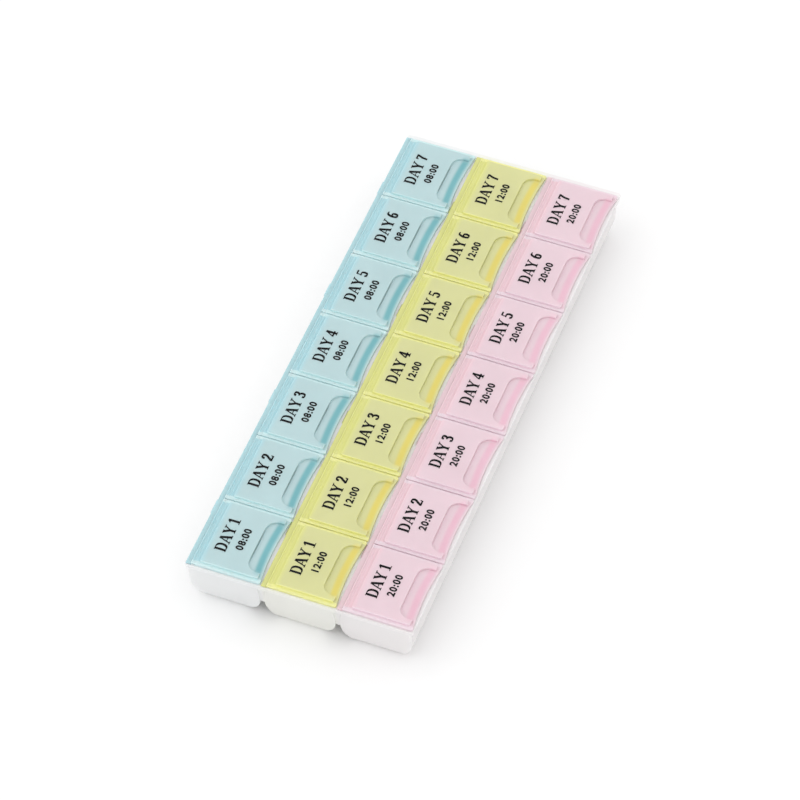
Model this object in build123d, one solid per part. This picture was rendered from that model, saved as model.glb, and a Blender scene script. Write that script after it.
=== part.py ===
from build123d import *

# Weekly pill box: a tray of three rounded troughs, each divided into seven compartments.
# Every trough has a hinge rail along its left edge, and seven flip lids that fold up from that rail.
# Lengths are in millimetres and angles in degrees. X runs across the columns of lids, Y along the week
# and Z up. The origin is on the table, under the middle of the tray.

import math
import os

# Layout: one column of lids for each time of day, and one row for each day of the week
times = ["morning", "noon", "night"]
days = ["monday", "tuesday", "wednesday", "thursday", "friday", "saturday", "sunday"]
column_pitch = 28.0
row_pitch = 30.6

# Tray: a flat deck that carries the troughs, with a ledge past the lids at its far end,
# and a short web near each end that closes the gaps between the troughs
deck_height = 18.3
deck_thickness = 1.4
deck_corner_radius = 1.0
far_ledge = 2.0
rail_land = 2.2
front_land = 2.2
divider_thickness = 1.2
trough_gap = 1.4
trough_floor = 1.2
trough_end_wall = 1.2
trough_foot_width = 10.0
trough_end_radius = 2.5
trough_corner_radius = 2.0
trough_draft = 1.5
trough_end_draft = 9.0
web_thickness = 1.2
web_inset = 0.3
web_drop = 10.3

# Hinge: the round bead on each lid's rear edge turns in the rail's cove
hinge_offset = 2.15
hinge_bead_radius = 0.45
hinge_clearance = 0.05
hinge_leaf_thickness = 0.55
hinge_leaf_width = 1.2

# Hinge rail: a thin strip on the deck, held by tabs that go through it between the troughs
rail_edge_radius = 0.2
rail_tab_count = 4
rail_tab_length = 6.0
rail_tab_thickness = 0.8
rail_tab_reach = 0.7
rail_slot_clearance = 0.1

# Lid: a flange that lies on the deck, and a hollow panel that stands above it
lid_end_gap = 0.4
lid_front_gap = 0.3
lid_front_bow = 1.1
lid_corner_radius = 0.8
flange_thickness = 1.0
flange_edge_radius = 0.25
panel_rise = 0.9
panel_thickness = 1.0
panel_wall = 0.9
panel_rear_margin = 2.6
panel_side_margin = 1.3
panel_front_margin = 1.4
panel_corner_radius = 0.7
panel_edge_radius = 0.3

# Finger recess: the front of the panel is cut away down to the flange
recess_reach = 7.0
recess_cheek = 2.4
recess_corner_radius = 4.0

# Snap skirt: a bowed wall under the lid's front, with a bead along its foot
skirt_length = 23.0
skirt_thickness = 1.0
skirt_drop = 3.0
skirt_clearance = 0.6
snap_bead_height = 0.7
snap_bead_reach = 0.2

# Every cut runs past the face that it starts from by this much
overrun = 1.0

# Places that follow from the sizes above
field_width = column_pitch * len(times)
field_length = row_pitch * len(days)
near_ledge = trough_end_wall - divider_thickness / 2
deck_length = field_length + near_ledge + far_ledge
field_middle = (near_ledge - far_ledge) / 2
mouth_width = column_pitch - rail_land - front_land
mouth_length = field_length - divider_thickness
trough_width = column_pitch - trough_gap
trough_length = mouth_length + 2 * trough_end_wall
cove_radius = hinge_bead_radius + hinge_clearance
hinge_rise = cove_radius

lid_length = row_pitch - lid_end_gap
lid_front = column_pitch - lid_front_gap - hinge_offset
lid_bow_radius = ((lid_length / 2) ** 2 + lid_front_bow**2) / (2 * lid_front_bow)
lid_bow_centre = lid_front - lid_front_bow + lid_bow_radius
panel_front = lid_front - panel_front_margin
panel_length = lid_length - 2 * panel_side_margin
panel_top = flange_thickness + panel_rise
recess_back = lid_front - recess_reach
recess_length = panel_length - 2 * recess_cheek
rail_tab_middle = (rail_land - front_land) / 2


def column_left(column):
    """X of a column's left edge, where its hinge rail starts."""
    return column * column_pitch - field_width / 2


def trough_middle(column):
    """X of the middle of a column's compartments."""
    return column_left(column) + rail_land + mouth_width / 2


def row_start(row):
    """Y of the near edge of a day's row, from the middle of the week."""
    return row * row_pitch - field_length / 2


def front_edge(across):
    """How far a lid's bowed front edge is from its hinge, at a distance across from the lid's middle."""
    return lid_bow_centre - math.sqrt(lid_bow_radius**2 - across**2)


def box_between(low, high):
    """A block from its lowest corner to its highest."""
    size = [high[axis] - low[axis] for axis in range(3)]
    middle = [(high[axis] + low[axis]) / 2 for axis in range(3)]
    return Pos(*middle) * Box(*size)


def cup(plane, width, length, floor, radius, draft):
    """A bar below the deck's top, drawn on a plane: its sides lean in and its lower edges are round."""
    lean = (deck_height - floor) * math.tan(math.radians(draft))
    half = width / 2
    section = plane * Polygon(
        (-half, deck_height),
        (lean - half, floor),
        (half - lean, floor),
        (half, deck_height),
        align=None,
    )
    section = fillet(section.vertices().group_by(Axis.Z)[0], radius)
    return extrude(section, length, both=True)


def trough(width, length, floor, end_radius, corner_radius):
    """A solid trough below the deck's top, on a flat foot, with round sides and leaning ends."""
    lean = (deck_height - floor) * math.tan(math.radians(trough_draft))
    rounding = width / 2 - lean - trough_foot_width / 2
    side_radius = rounding / math.tan(math.radians(90 - trough_draft) / 2)
    sides = cup(Plane.XZ, width, length, floor, side_radius, trough_draft)
    ends = cup(Plane.YZ, length, width, floor, end_radius, trough_end_draft)
    outline = extrude(RectangleRounded(width, length, corner_radius), deck_height)
    return sides & ends & outline


def trough_outside():
    """The outside of one trough, on the middle of its compartments."""
    return trough(trough_width, trough_length, 0, trough_end_radius, trough_corner_radius)


def compartments():
    """The hollows of one column: the trough's inside without its dividers."""
    end_radius = trough_end_radius - trough_floor
    corner_radius = trough_corner_radius - trough_end_wall
    hollow = trough(mouth_width, mouth_length, trough_floor, end_radius, corner_radius)
    for row in range(1, len(days)):
        low = (-mouth_width, row_start(row) - divider_thickness / 2, 0)
        high = (mouth_width, row_start(row) + divider_thickness / 2, deck_height + overrun)
        hollow -= box_between(low, high)
    return hollow


def rail_tab_places():
    """Y of the middle of each tab along a hinge rail."""
    spacing = field_length / rail_tab_count
    first = (spacing - field_length) / 2
    return [first + tab * spacing for tab in range(rail_tab_count)]


def rail_slots(column):
    """The slots in the deck that one rail's tabs pass through."""
    middle = column_left(column) + rail_tab_middle
    half_width = rail_tab_thickness / 2 + rail_slot_clearance
    half_length = rail_tab_length / 2 + rail_slot_clearance
    slots = Part()
    for place in rail_tab_places():
        low = (middle - half_width, place - half_length, deck_height - deck_thickness - overrun)
        high = (middle + half_width, place + half_length, deck_height + overrun)
        slots += box_between(low, high)
    return slots


def end_webs():
    """The plates that join the troughs to each other, one near each end of the tray, leaning as the ends do."""
    outer = trough_length - 2 * web_inset
    inner = outer - 2 * web_thickness
    webs = cup(Plane.YZ, outer, field_width, 0, trough_end_radius, trough_end_draft)
    webs -= cup(Plane.YZ, inner, field_width, 0, trough_end_radius, trough_end_draft)
    low = (trough_middle(0), -outer, deck_height - web_drop)
    high = (trough_middle(len(times) - 1), outer, deck_height)
    return webs & box_between(low, high)


def make_tray():
    """The one-piece tray: deck, webs and troughs, hollowed out from above."""
    half_width = field_width / 2
    half_length = deck_length / 2
    tray = box_between(
        (-half_width, -half_length, deck_height - deck_thickness),
        (half_width, half_length, deck_height),
    )
    tray = fillet(tray.edges().filter_by(Axis.Z), deck_corner_radius)
    tray += Pos(0, field_middle) * end_webs()
    for column in range(len(times)):
        tray += Pos(trough_middle(column), field_middle) * trough_outside()
    for column in range(len(times)):
        tray -= Pos(trough_middle(column), field_middle) * compartments()
        tray -= Pos(0, field_middle) * rail_slots(column)
    return tray


def make_rail():
    """One hinge rail, with its left edge and its seat at the origin."""
    half_length = field_length / 2
    rail = box_between((0, -half_length, 0), (hinge_offset, half_length, hinge_rise))
    left_top = rail.edges().filter_by(Axis.Y).group_by(Axis.Z)[-1].sort_by(Axis.X)[0]
    rail = fillet(left_top, rail_edge_radius)
    cove = Cylinder(cove_radius, field_length + 2 * overrun, rotation=(90, 0, 0))
    rail -= Pos(hinge_offset, 0, hinge_rise) * cove
    half_tab = rail_tab_thickness / 2
    for place in rail_tab_places():
        low = (rail_tab_middle - half_tab, place - rail_tab_length / 2, -deck_thickness - rail_tab_reach)
        high = (rail_tab_middle + half_tab, place + rail_tab_length / 2, 0)
        rail += box_between(low, high)
    return rail


def lid_outline():
    """The flange seen from above: square at the hinge, bowed at the front."""
    half = lid_length / 2
    rear = hinge_leaf_width
    sides = Polyline((lid_front, -half), (rear, -half), (rear, half), (lid_front, half))
    front = ThreePointArc((lid_front, half), (lid_front - lid_front_bow, 0), (lid_front, -half))
    face = make_face(sides + front)
    corners = face.vertices().group_by(Axis.X)[-1]
    return fillet(corners, lid_corner_radius)


def rectangle_between(low_x, high_x, length, corner_radius):
    """A rectangle with round corners from low_x to high_x, centred across the lid."""
    return Pos((low_x + high_x) / 2, 0) * RectangleRounded(high_x - low_x, length, corner_radius)


def lid_panel():
    """The raised panel, with the finger recess cut out of its front."""
    panel = rectangle_between(panel_rear_margin, panel_front, panel_length, panel_corner_radius)
    recess_front = lid_front + 2 * recess_corner_radius
    recess = rectangle_between(recess_back, recess_front, recess_length, recess_corner_radius)
    raised = extrude(panel - recess, panel_rise)
    raised = fillet(raised.edges().group_by(Axis.Z)[-1], panel_edge_radius)
    return Pos(0, 0, flange_thickness) * raised


def skirt_band(inset, thickness, low, high):
    """A wall that follows the bowed front edge, inset from it, between two heights."""
    outer_radius = lid_bow_radius + inset + thickness
    ring = Circle(outer_radius) - Circle(lid_bow_radius + inset)
    strip = Pos(-lid_bow_radius, 0) * Rectangle(lid_bow_radius, skirt_length)
    band = Pos(lid_bow_centre, 0, low) * (ring & strip)
    return extrude(band, high - low)


def make_lid():
    """One lid, closed, with its hinge axis above the origin and its flange on the deck's top."""
    flange = extrude(lid_outline(), flange_thickness)
    top_edges = flange.edges().group_by(Axis.Z)[-1]
    lid = fillet(top_edges, flange_edge_radius)
    lid += lid_panel()

    leaf_low = hinge_rise - hinge_leaf_thickness / 2
    leaf_high = hinge_rise + hinge_leaf_thickness / 2
    half = lid_length / 2
    lid += box_between((0, -half, leaf_low), (hinge_leaf_width + flange_thickness / 2, half, leaf_high))
    lid += Pos(0, 0, hinge_rise) * Cylinder(hinge_bead_radius, lid_length, rotation=(90, 0, 0))

    pocket_rear = panel_rear_margin + panel_wall
    pocket_front = recess_back - panel_wall
    pocket_length = panel_length - 2 * panel_wall
    pocket = rectangle_between(pocket_rear, pocket_front, pocket_length, panel_corner_radius)
    lid -= Pos(0, 0, -overrun) * extrude(pocket, overrun + panel_top - panel_thickness)

    compartment_front = column_pitch - front_land - hinge_offset
    skirt_inset = front_edge(skirt_length / 2) - (compartment_front - skirt_clearance)
    lid += skirt_band(skirt_inset, skirt_thickness, -skirt_drop, 0)
    bead_inset = skirt_inset - snap_bead_reach
    lid += skirt_band(bead_inset, skirt_thickness, -skirt_drop, snap_bead_height - skirt_drop)
    return lid


os.makedirs("parts", exist_ok=True)
export_step(make_tray(), "parts/tray.step")
rail = make_rail()
lid = make_lid()
for column, time_of_day in enumerate(times):
    left = column_left(column)
    export_step(Pos(left, field_middle, deck_height) * rail, f"parts/{time_of_day}_hinge_rail.step")
    for row, day in enumerate(days):
        middle = field_middle + row_start(row) + row_pitch / 2
        placed = Pos(left + hinge_offset, middle, deck_height) * lid
        export_step(placed, f"parts/{day}_{time_of_day}_lid.step")
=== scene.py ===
import math

import bpy
from mathutils import Matrix, Vector


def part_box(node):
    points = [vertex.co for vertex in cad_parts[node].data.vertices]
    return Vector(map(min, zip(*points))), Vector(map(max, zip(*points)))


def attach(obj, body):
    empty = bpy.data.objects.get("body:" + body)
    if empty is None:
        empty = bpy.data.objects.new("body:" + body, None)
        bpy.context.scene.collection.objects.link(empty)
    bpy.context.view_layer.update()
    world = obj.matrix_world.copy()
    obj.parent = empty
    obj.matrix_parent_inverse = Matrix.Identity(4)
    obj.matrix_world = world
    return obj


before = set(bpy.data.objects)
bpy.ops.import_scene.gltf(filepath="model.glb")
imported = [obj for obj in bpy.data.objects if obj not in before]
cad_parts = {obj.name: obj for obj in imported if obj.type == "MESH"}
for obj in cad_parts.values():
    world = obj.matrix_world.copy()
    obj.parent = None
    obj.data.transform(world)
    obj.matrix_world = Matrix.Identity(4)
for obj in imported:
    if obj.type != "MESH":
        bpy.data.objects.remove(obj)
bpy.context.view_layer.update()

# Lengths are in metres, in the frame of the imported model: X across the columns, Y along the week, Z up
MM = 0.001

# Camera: where the photograph was taken from, and what is in the middle of its frame
camera_azimuth = 20.94
camera_elevation = 50.35
camera_distance = 1.5708
camera_lens = 199.1
camera_reach = 10.0
camera_target = Vector((0.00124, -0.01376, 0.019))

# Studio: a white floor, an even white sky and one very soft light from the near left
floor_half_size = 2.5
floor_drop = 0.05 * MM
floor_colour = (0.9, 0.9, 0.9)
floor_seen_colour = (0.93, 0.93, 0.93)
sky_colour = (1.0, 1.0, 1.0)
sky_strength = 1.06
sun_strength = 0.28
sun_spread = 60.0
sun_place = Vector((-0.9, -0.35, 1.1))

# Lid colours: the frosted panel, the clear flange round it, the deep band over the snap skirt, a painted
# highlight on the ridges and side strips, and a painted shade on the back wall of the finger recess
columns = {
    "morning": {
        "slot": "blue_plastic",
        "panel": (0.585, 0.765, 0.785),
        "flange": (0.52, 0.79, 0.85),
        "deep": (0.14, 0.5, 0.55),
        "ridge_highlight": (0.72, 0.95, 0.97),
        "recess_shade": (0.25, 0.37, 0.38),
        "hour": "08:00",
    },
    "noon": {
        "slot": "yellow_plastic",
        "panel": (0.78, 0.78, 0.4),
        "flange": (0.85, 0.855, 0.32),
        "deep": (0.9, 0.75, 0.14),
        "ridge_highlight": (0.99, 0.98, 0.42),
        "recess_shade": (0.7, 0.7, 0.32),
        "hour": "12:00",
    },
    "night": {
        "slot": "pink_plastic",
        "panel": (0.91, 0.72, 0.78),
        "flange": (0.98, 0.7, 0.76),
        "deep": (0.98, 0.59, 0.71),
        "ridge_highlight": (0.99, 0.8, 0.87),
        "recess_shade": (0.9, 0.69, 0.75),
        "hour": "20:00",
    },
}
lid_glow_share = 0.16
lid_clear_share = 0.05
tray_glow_share = 0.16
tray_clear_share = 0.05
# The tray's own milky white, with a painted tint of the coloured light from the lids over each trough
tray_white_and_lid_light = [(0.95, 0.965, 0.97), (0.965, 0.965, 0.9), (0.975, 0.935, 0.935)]
lid_light_edges = [-14.0 * MM, 14.0 * MM]
days = ["monday", "tuesday", "wednesday", "thursday", "friday", "saturday", "sunday"]

# Lid zones, from the hinge axis towards the front and from the lid's middle to its sides
flange_rear = 2.1 * MM
panel_rear = 4.7 * MM
panel_half = 13.75 * MM
panel_side_soft = 0.2 * MM
lid_half = 15.1 * MM
front_middle = 24.45 * MM
front_bow = 1.1 * MM
band_front = 0.8 * MM
band_rear = 3.2 * MM
band_soft = 0.8 * MM
band_full_half = 9.5 * MM
band_end_half = 13.5 * MM
band_share = 0.8
# Painted highlight lines along the panel's and the flange's side ridges
inner_ridge_edges = (13.6 * MM, 13.95 * MM)
outer_ridge_edges = (14.65 * MM, 15.0 * MM)
ridge_soft = 0.12 * MM
ridge_highlight_share = 0.75
# Painted shade on the back wall of the finger recess, where it faces away from the light
recess_shade_edges = (18.45 * MM, 18.8 * MM)
recess_shade_soft = 0.1 * MM
recess_shade_full_half = 4.5 * MM
recess_shade_end_half = 8.5 * MM
recess_shade_share = 0.6
hinge_from_box = 0.45 * MM
lid_rear = -0.4 * MM

# Surface: how much the cloudiness, the roughness and the moulded grain vary, and over what lengths
lid_cloud_scale = 90.0
lid_cloud_shades = (0.94, 1.04)
panel_roughness = 0.36
border_roughness = 0.2
cloud_roughness = 0.08
lid_grain_scale = 5000.0
tray_cloud_scale = 60.0
tray_cloud_shades = (0.96, 1.02)
tray_roughness = (0.18, 0.3)
tray_grain_scale = 3500.0
lid_light_soft = 1.5 * MM
noise_detail = 3.0
grain_depth = 0.02 * MM
grain_strength = 0.35
plastic_ior = 1.49
scatter_share = 0.6
scatter_length = 1.2 * MM
scatter_radius = (1.0, 1.0, 1.0)
ink_scale = 2500.0
ink_colours = ((0.002, 0.002, 0.003), (0.01, 0.01, 0.011))
ink_roughness = (0.35, 0.6)
ink_specular = 0.15

# Colour mix node: which of its inputs are the factor and the two colours, and which output is the colour
mix_colour_inputs = (0, 6, 7)
mix_colour_output = 2

# Print on the lids: how far the foot of each line is from the lid's hinge side, and how tall it is
day_print_foot = 9.9 * MM
day_print_height = 4.2 * MM
hour_print_foot = 15.1 * MM
hour_print_height = 2.7 * MM
hour_boldness = 0.036
hour_spacing = 1.18
print_smoothness = 4
print_thickness = 0.03 * MM

# Pen strokes of the day print, in a box one unit high: a glyph's width, then each stroke's nib and points
stem = (0.22, 0.07)
curve_pen = (0.2, 0.07)
hair = (0.09, 0.07)
bar = (0.07, 0.14)
glyph_gap = 0.03
glyphs = {
    " ": (0.22, []),
    "D": (0.84, [
        (stem, [(0.17, 0.03), (0.17, 0.97)]),
        (curve_pen, [(0.17, 0.97), (0.4, 0.97), (0.58, 0.9), (0.69, 0.72), (0.72, 0.5), (0.69, 0.28),
                     (0.58, 0.1), (0.4, 0.03), (0.17, 0.03)]),
        (hair, [(0.04, 0.97), (0.3, 0.97)]),
        (hair, [(0.04, 0.03), (0.3, 0.03)]),
    ]),
    "A": (0.92, [
        (hair, [(0.13, 0.03), (0.43, 0.97)]),
        (stem, [(0.47, 0.97), (0.75, 0.03)]),
        (hair, [(0.22, 0.33), (0.6, 0.33)]),
        (hair, [(0.03, 0.03), (0.26, 0.03)]),
        (hair, [(0.58, 0.03), (0.89, 0.03)]),
    ]),
    "Y": (0.88, [
        (stem, [(0.15, 0.97), (0.43, 0.46)]),
        (hair, [(0.74, 0.97), (0.46, 0.46)]),
        (stem, [(0.44, 0.48), (0.44, 0.03)]),
        (hair, [(0.03, 0.97), (0.3, 0.97)]),
        (hair, [(0.6, 0.97), (0.85, 0.97)]),
        (hair, [(0.28, 0.03), (0.6, 0.03)]),
    ]),
    "1": (0.56, [
        (stem, [(0.3, 0.03), (0.3, 0.97)]),
        (hair, [(0.08, 0.8), (0.3, 0.97)]),
        (hair, [(0.08, 0.03), (0.52, 0.03)]),
    ]),
    "2": (0.64, [
        (curve_pen, [(0.13, 0.72), (0.16, 0.87), (0.3, 0.97), (0.45, 0.9), (0.5, 0.74), (0.44, 0.56),
                     (0.28, 0.36), (0.11, 0.1)]),
        (bar, [(0.07, 0.07), (0.55, 0.07)]),
        (hair, [(0.55, 0.06), (0.58, 0.22)]),
    ]),
    "3": (0.62, [
        (curve_pen, [(0.13, 0.8), (0.18, 0.93), (0.3, 0.97), (0.43, 0.9), (0.47, 0.76), (0.4, 0.6),
                     (0.26, 0.54)]),
        (curve_pen, [(0.26, 0.54), (0.43, 0.47), (0.5, 0.3), (0.44, 0.1), (0.28, 0.03), (0.14, 0.08),
                     (0.11, 0.2)]),
    ]),
    "4": (0.66, [
        (hair, [(0.42, 0.97), (0.06, 0.3)]),
        (bar, [(0.06, 0.29), (0.62, 0.29)]),
        (stem, [(0.44, 0.03), (0.44, 0.97)]),
        (hair, [(0.28, 0.03), (0.6, 0.03)]),
    ]),
    "5": (0.62, [
        (bar, [(0.16, 0.93), (0.53, 0.93)]),
        (hair, [(0.17, 0.95), (0.14, 0.54)]),
        (curve_pen, [(0.15, 0.55), (0.28, 0.6), (0.42, 0.54), (0.49, 0.34), (0.44, 0.12), (0.28, 0.03),
                     (0.14, 0.08), (0.11, 0.2)]),
    ]),
    "6": (0.64, [
        (curve_pen, [(0.48, 0.9), (0.36, 0.96), (0.23, 0.82), (0.14, 0.58), (0.13, 0.32), (0.19, 0.1),
                     (0.32, 0.03), (0.45, 0.1), (0.51, 0.3), (0.45, 0.5), (0.33, 0.57), (0.2, 0.5),
                     (0.14, 0.4)]),
    ]),
    "7": (0.6, [
        (bar, [(0.08, 0.93), (0.54, 0.93)]),
        (curve_pen, [(0.49, 0.9), (0.32, 0.45), (0.27, 0.03)]),
        (hair, [(0.08, 0.95), (0.07, 0.76)]),
    ]),
}


def node(tree, kind, **inputs):
    """A shader node with the given input values; a name's underscores stand for spaces."""
    made = tree.nodes.new(kind)
    for name, value in inputs.items():
        made.inputs[name.replace("_", " ")].default_value = value
    return made


def new_material(name):
    """An empty node material and its output node."""
    material = bpy.data.materials.new(name)
    material.use_nodes = True
    tree = material.node_tree
    tree.nodes.clear()
    return material, tree, tree.nodes.new("ShaderNodeOutputMaterial")


def map_range(tree, source, low, high):
    """A node that takes a value from low..high to 0..1, with soft ends."""
    made = node(tree, "ShaderNodeMapRange")
    made.interpolation_type = "SMOOTHSTEP"
    made.inputs["From Min"].default_value = low
    made.inputs["From Max"].default_value = high
    tree.links.new(source, made.inputs["Value"])
    return made.outputs["Result"]


def math_node(tree, operation, first, second=None):
    """A math node; each value is a socket or a number."""
    made = tree.nodes.new("ShaderNodeMath")
    made.operation = operation
    for index, value in enumerate((first, second)):
        if value is None:
            continue
        if isinstance(value, (int, float)):
            made.inputs[index].default_value = value
        else:
            tree.links.new(value, made.inputs[index])
    return made.outputs[0]


def mix_colour(tree, factor, first, second, blend="MIX"):
    """A colour mix; each colour is a socket or three numbers."""
    made = tree.nodes.new("ShaderNodeMix")
    made.data_type = "RGBA"
    made.blend_type = blend
    sockets = [made.inputs[index] for index in mix_colour_inputs]
    for socket, value in zip(sockets, (factor, first, second)):
        if isinstance(value, (int, float)):
            socket.default_value = value
        elif isinstance(value, tuple):
            socket.default_value = (*value, 1.0)
        else:
            tree.links.new(value, socket)
    return made.outputs[mix_colour_output]


def mix_number(tree, factor, first, second):
    """A number that goes from first to second with a factor socket."""
    span = math_node(tree, "MULTIPLY", factor, second - first)
    return math_node(tree, "ADD", span, first)


def noise(tree, coordinates, scale):
    """A noise texture's value."""
    made = node(tree, "ShaderNodeTexNoise", Scale=scale, Detail=noise_detail)
    tree.links.new(coordinates, made.inputs["Vector"])
    return made.outputs["Fac"]


def milky_plastic(material_parts, colour, roughness, through_share, clear_share, normal):
    """Cloudy plastic: gloss over a body that passes light softly, and lets some of what is behind show."""
    material, tree, output = material_parts
    body = node(tree, "ShaderNodeBsdfPrincipled", IOR=plastic_ior, Subsurface_Weight=scatter_share)
    body.inputs["Subsurface Scale"].default_value = scatter_length
    body.inputs["Subsurface Radius"].default_value = scatter_radius
    tree.links.new(colour, body.inputs["Base Color"])
    tree.links.new(roughness, body.inputs["Roughness"])
    tree.links.new(normal, body.inputs["Normal"])
    glow = tree.nodes.new("ShaderNodeBsdfTranslucent")
    tree.links.new(colour, glow.inputs["Color"])
    milk = node(tree, "ShaderNodeMixShader", Fac=through_share)
    tree.links.new(body.outputs[0], milk.inputs[1])
    tree.links.new(glow.outputs[0], milk.inputs[2])
    clear = tree.nodes.new("ShaderNodeBsdfTransparent")
    tree.links.new(colour, clear.inputs["Color"])
    seen = node(tree, "ShaderNodeMixShader", Fac=clear_share)
    tree.links.new(milk.outputs[0], seen.inputs[1])
    tree.links.new(clear.outputs[0], seen.inputs[2])
    tree.links.new(seen.outputs[0], output.inputs["Surface"])
    return material


def grain_bump(tree, coordinates, scale):
    """A fine moulded grain as a bump."""
    bump = node(tree, "ShaderNodeBump", Strength=grain_strength, Distance=grain_depth)
    tree.links.new(noise(tree, coordinates, scale), bump.inputs["Height"])
    return bump.outputs["Normal"]


def lid_zones(tree, position, hinge_x, first_middle, pitch):
    """How far a point is from its lid's hinge axis, from the lid's middle line and behind its bowed front."""
    split = tree.nodes.new("ShaderNodeSeparateXYZ")
    tree.links.new(position, split.inputs[0])
    reach = math_node(tree, "SUBTRACT", split.outputs["X"], hinge_x)
    along = math_node(tree, "SUBTRACT", split.outputs["Y"], first_middle - pitch / 2)
    within = math_node(tree, "FLOORED_MODULO", along, pitch)
    side = math_node(tree, "ABSOLUTE", math_node(tree, "SUBTRACT", within, pitch / 2))
    bow = math_node(tree, "MULTIPLY", math_node(tree, "POWER", side, 2.0), front_bow / lid_half**2)
    behind = math_node(tree, "SUBTRACT", math_node(tree, "ADD", bow, front_middle), reach)
    return reach, side, behind


def stripe(tree, value, edges, soft):
    """1 between two edges and 0 outside them, softened."""
    low, high = edges
    rise = map_range(tree, value, low - soft, low + soft)
    fall = map_range(tree, value, high + soft, high - soft)
    return math_node(tree, "MULTIPLY", rise, fall)


def lid_plastic(name, look, hinge_x, first_middle, pitch):
    """Plastic of one column: frosted on the panels, its own flange colour at the rear, deep over the skirts,
    with a painted highlight on the side flanges and ridges and a painted shade on the back wall of the finger
    recess.
    """
    parts = new_material(name)
    tree = parts[1]
    position = tree.nodes.new("ShaderNodeTexCoord").outputs["Object"]
    reach, side, behind = lid_zones(tree, position, hinge_x, first_middle, pitch)
    cloud = noise(tree, position, lid_cloud_scale)

    on_lid = map_range(tree, reach, lid_rear, 0)
    rear = map_range(tree, reach, panel_rear, flange_rear)
    sides = map_range(tree, side, panel_half - panel_side_soft, panel_half + panel_side_soft)
    sides = math_node(tree, "MULTIPLY", sides, on_lid)
    border = math_node(tree, "MAXIMUM", rear, sides)
    colour = mix_colour(tree, rear, look["panel"], look["flange"])
    # Painted highlight: the side flange strips are lightened towards the ridge colour
    colour = mix_colour(tree, sides, colour, look["ridge_highlight"])

    along_band = map_range(tree, side, band_end_half, band_full_half)
    across_band = stripe(tree, behind, (band_front, band_rear), band_soft)
    band = math_node(tree, "MULTIPLY", along_band, across_band)
    colour = mix_colour(tree, math_node(tree, "MULTIPLY", band, band_share), colour, look["deep"])

    # Painted highlight lines along the side ridges
    inner_ridge = stripe(tree, side, inner_ridge_edges, ridge_soft)
    outer_ridge = stripe(tree, side, outer_ridge_edges, ridge_soft)
    ridge_highlights = math_node(tree, "MULTIPLY", math_node(tree, "MAXIMUM", inner_ridge, outer_ridge), on_lid)
    colour = mix_colour(tree, math_node(tree, "MULTIPLY", ridge_highlights, ridge_highlight_share), colour, look["ridge_highlight"])

    # Painted shade on the back wall of the finger recess
    along_recess_shade = map_range(tree, side, recess_shade_end_half, recess_shade_full_half)
    recess_shade = math_node(tree, "MULTIPLY", along_recess_shade, stripe(tree, reach, recess_shade_edges, recess_shade_soft))
    colour = mix_colour(tree, math_node(tree, "MULTIPLY", recess_shade, recess_shade_share), colour, look["recess_shade"])

    shaded = mix_colour(tree, 1.0, colour, mix_number(tree, cloud, *lid_cloud_shades), "MULTIPLY")
    smooth = mix_number(tree, border, panel_roughness, border_roughness)
    roughness = math_node(tree, "ADD", smooth, math_node(tree, "MULTIPLY", cloud, cloud_roughness))
    normal = grain_bump(tree, position, lid_grain_scale)
    return milky_plastic(parts, shaded, roughness, lid_glow_share, lid_clear_share, normal)


def tray_plastic():
    """Milky white plastic of the tray, with a painted tint over each trough for the coloured light that comes
    through the lids above it.
    """
    parts = new_material("tray_plastic")
    tree = parts[1]
    position = tree.nodes.new("ShaderNodeTexCoord").outputs["Object"]
    split = tree.nodes.new("ShaderNodeSeparateXYZ")
    tree.links.new(position, split.inputs[0])
    # Painted tint of the lids' coloured light over the tray's white, changing across the troughs
    white_and_lid_light = tray_white_and_lid_light[0]
    for edge, next_white_and_lid_light in zip(lid_light_edges, tray_white_and_lid_light[1:]):
        past = map_range(tree, split.outputs["X"], edge - lid_light_soft, edge + lid_light_soft)
        white_and_lid_light = mix_colour(tree, past, white_and_lid_light, next_white_and_lid_light)
    cloud = noise(tree, position, tray_cloud_scale)
    colour = mix_colour(tree, 1.0, white_and_lid_light, mix_number(tree, cloud, *tray_cloud_shades), "MULTIPLY")
    roughness = mix_number(tree, cloud, *tray_roughness)
    normal = grain_bump(tree, position, tray_grain_scale)
    return milky_plastic(parts, colour, roughness, tray_glow_share, tray_clear_share, normal)


def ink():
    """Black printing ink, slightly glossy and uneven."""
    material, tree, output = new_material("ink")
    position = tree.nodes.new("ShaderNodeTexCoord").outputs["Object"]
    cover = noise(tree, position, ink_scale)
    body = node(tree, "ShaderNodeBsdfPrincipled", Specular_IOR_Level=ink_specular)
    tree.links.new(mix_colour(tree, cover, *ink_colours), body.inputs["Base Color"])
    tree.links.new(mix_number(tree, cover, *ink_roughness), body.inputs["Roughness"])
    tree.links.new(body.outputs[0], output.inputs["Surface"])
    return material


def text_mesh(name, text, height, boldness, material):
    """A line of print as a thin flat mesh, with its foot on local Y 0 and centred on local X."""
    curve = bpy.data.curves.new(name, "FONT")
    curve.body = text
    curve.align_x = "CENTER"
    curve.resolution_u = print_smoothness
    curve.offset = boldness
    curve.space_character = hour_spacing
    holder = bpy.data.objects.new(name, curve)
    bpy.context.scene.collection.objects.link(holder)
    bpy.context.view_layer.update()
    cap_height = max(corner[1] for corner in holder.bound_box)
    size = height / cap_height
    curve.extrude = print_thickness / size / 2
    bpy.context.view_layer.update()
    mesh = bpy.data.meshes.new_from_object(holder.evaluated_get(bpy.context.evaluated_depsgraph_get()))
    mesh.transform(Matrix.Scale(size, 4))
    mesh.name = name
    mesh.materials.clear()
    mesh.materials.append(material)
    bpy.data.objects.remove(holder)
    return mesh


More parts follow.
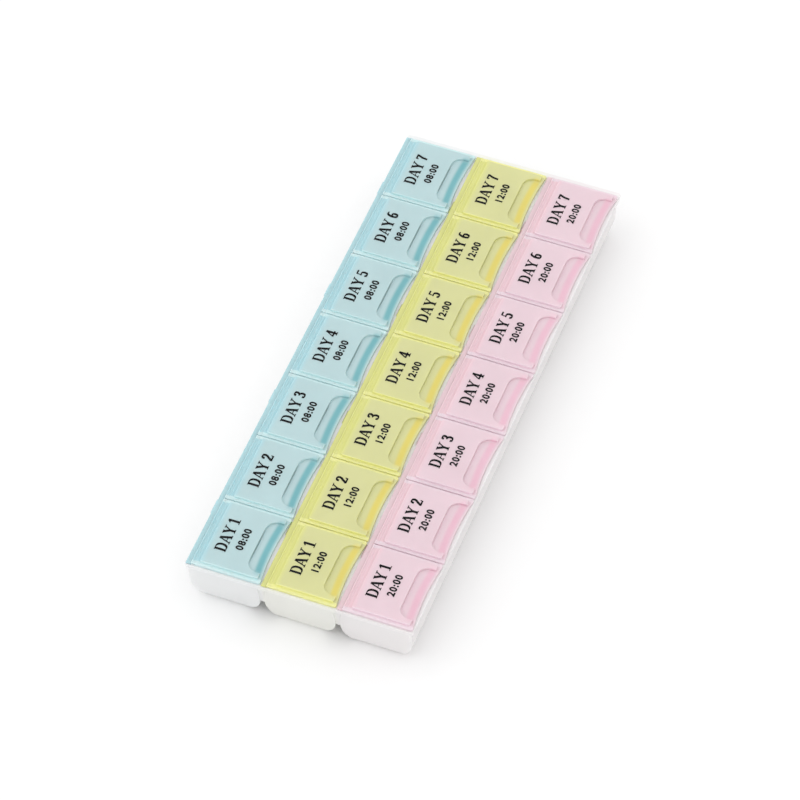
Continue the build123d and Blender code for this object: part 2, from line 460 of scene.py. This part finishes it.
def hull(points):
    """The corners of the convex outline round some points, in order."""
    ordered = sorted(set(points))
    outline = []
    for run in (ordered, ordered[::-1]):
        chain = []
        for point in run:
            while len(chain) > 1:
                first, second = chain[-2], chain[-1]
                run_x, run_y = second[0] - first[0], second[1] - first[1]
                if run_x * (point[1] - first[1]) > run_y * (point[0] - first[0]):
                    break
                chain.pop()
            chain.append(point)
        outline += chain[:-1]
    return outline


def nib_corners(nib, point):
    """The corners of a flat pen nib held at a point."""
    wide, tall = nib
    return [(point[0] + across * wide / 2, point[1] + up * tall / 2) for across in (-1, 1) for up in (-1, 1)]


def pen_mesh(name, text, height, material):
    """A line of print drawn with a flat pen, with its foot on local Y 0 and centred on local X."""
    length = sum(glyphs[letter][0] for letter in text) + glyph_gap * (len(text) - 1)
    start = -length / 2
    vertices = []
    faces = []
    for letter in text:
        width, strokes = glyphs[letter]
        for nib, points in strokes:
            for first, second in zip(points, points[1:]):
                corners = hull(nib_corners(nib, first) + nib_corners(nib, second))
                faces.append(range(len(vertices), len(vertices) + len(corners)))
                vertices += [((start + x) * height, y * height, 0.0) for x, y in corners]
        start += width + glyph_gap
    mesh = bpy.data.meshes.new(name)
    mesh.from_pydata(vertices, [], faces)
    mesh.materials.append(material)
    return mesh


def place_print(name, mesh, body, foot, middle_y, top):
    """Puts a line of print on a lid's panel, reading along the week, and lets it ride on the lid."""
    line = bpy.data.objects.new(name, mesh)
    turn = Matrix.Rotation(math.pi / 2, 4, "Z")
    lift = Matrix.Translation((foot, middle_y, top + print_thickness))
    line.matrix_world = lift @ turn
    bpy.context.scene.collection.objects.link(line)
    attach(line, body)


def dress_lids():
    """Gives every lid and rail its plastic, and prints the lids."""
    black = ink()
    day_meshes = []
    for row in range(len(days)):
        day_meshes.append(pen_mesh(f"day_{row + 1}", f"DAY {row + 1}", day_print_height, black))
    for time, look in columns.items():
        low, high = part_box(f"{days[0]}_{time}_lid")
        next_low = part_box(f"{days[1]}_{time}_lid")[0]
        first_middle = (low.y + high.y) / 2
        plastic = lid_plastic(look["slot"], look, low.x + hinge_from_box, first_middle, next_low.y - low.y)
        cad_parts[f"{time}_hinge_rail"].data.materials[0] = plastic
        hour_mesh = text_mesh(f"hour_{time}", look["hour"], hour_print_height, hour_boldness, black)
        for row, day in enumerate(days):
            lid = f"{day}_{time}_lid"
            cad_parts[lid].data.materials[0] = plastic
            low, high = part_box(lid)
            middle_y = (low.y + high.y) / 2
            day_foot = low.x + day_print_foot
            hour_foot = low.x + hour_print_foot
            place_print(f"{day}_{time}_day_print", day_meshes[row], lid, day_foot, middle_y, high.z)
            place_print(f"{day}_{time}_hour_print", hour_mesh, lid, hour_foot, middle_y, high.z)


def make_floor():
    """A wide pale floor that keeps the box's shadow."""
    mesh = bpy.data.meshes.new("floor")
    corners = [(-1, -1), (1, -1), (1, 1), (-1, 1)]
    vertices = [(x * floor_half_size, y * floor_half_size, -floor_drop) for x, y in corners]
    mesh.from_pydata(vertices, [], [range(len(vertices))])
    floor = bpy.data.objects.new("floor", mesh)
    bpy.context.scene.collection.objects.link(floor)
    material, tree, output = new_material("floor")
    body = node(tree, "ShaderNodeBsdfDiffuse")
    rays = tree.nodes.new("ShaderNodeLightPath").outputs
    seen = math_node(tree, "MAXIMUM", rays["Is Camera Ray"], rays["Is Glossy Ray"])
    seen = math_node(tree, "MAXIMUM", seen, rays["Is Transmission Ray"])
    tree.links.new(mix_colour(tree, seen, floor_colour, floor_seen_colour), body.inputs["Color"])
    tree.links.new(body.outputs[0], output.inputs["Surface"])
    mesh.materials.append(material)


def make_light():
    """An even sky and one very soft light."""
    world = bpy.data.worlds.new("studio")
    world.use_nodes = True
    background = world.node_tree.nodes["Background"]
    background.inputs["Color"].default_value = (*sky_colour, 1.0)
    background.inputs["Strength"].default_value = sky_strength
    bpy.context.scene.world = world
    sun = bpy.data.lights.new("soft_light", "SUN")
    sun.energy = sun_strength
    sun.angle = math.radians(sun_spread)
    holder = bpy.data.objects.new("soft_light", sun)
    holder.location = sun_place
    holder.rotation_euler = (-sun_place).to_track_quat("-Z", "Y").to_euler()
    bpy.context.scene.collection.objects.link(holder)


def make_camera():
    """The camera, aimed at the middle of the photograph's frame."""
    azimuth = math.radians(camera_azimuth)
    elevation = math.radians(camera_elevation)
    level = math.cos(elevation)
    back = Vector((math.sin(azimuth) * level, -math.cos(azimuth) * level, math.sin(elevation)))
    lens = bpy.data.cameras.new("camera")
    lens.lens = camera_lens
    lens.clip_end = camera_reach
    camera = bpy.data.objects.new("camera", lens)
    camera.location = camera_target + back * camera_distance
    camera.rotation_euler = (-back).to_track_quat("-Z", "Y").to_euler()
    bpy.context.scene.collection.objects.link(camera)
    bpy.context.scene.camera = camera


bpy.context.scene.view_settings.view_transform = "Standard"
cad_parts["tray"].data.materials[0] = tray_plastic()
dress_lids()
make_floor()
make_light()
make_camera()
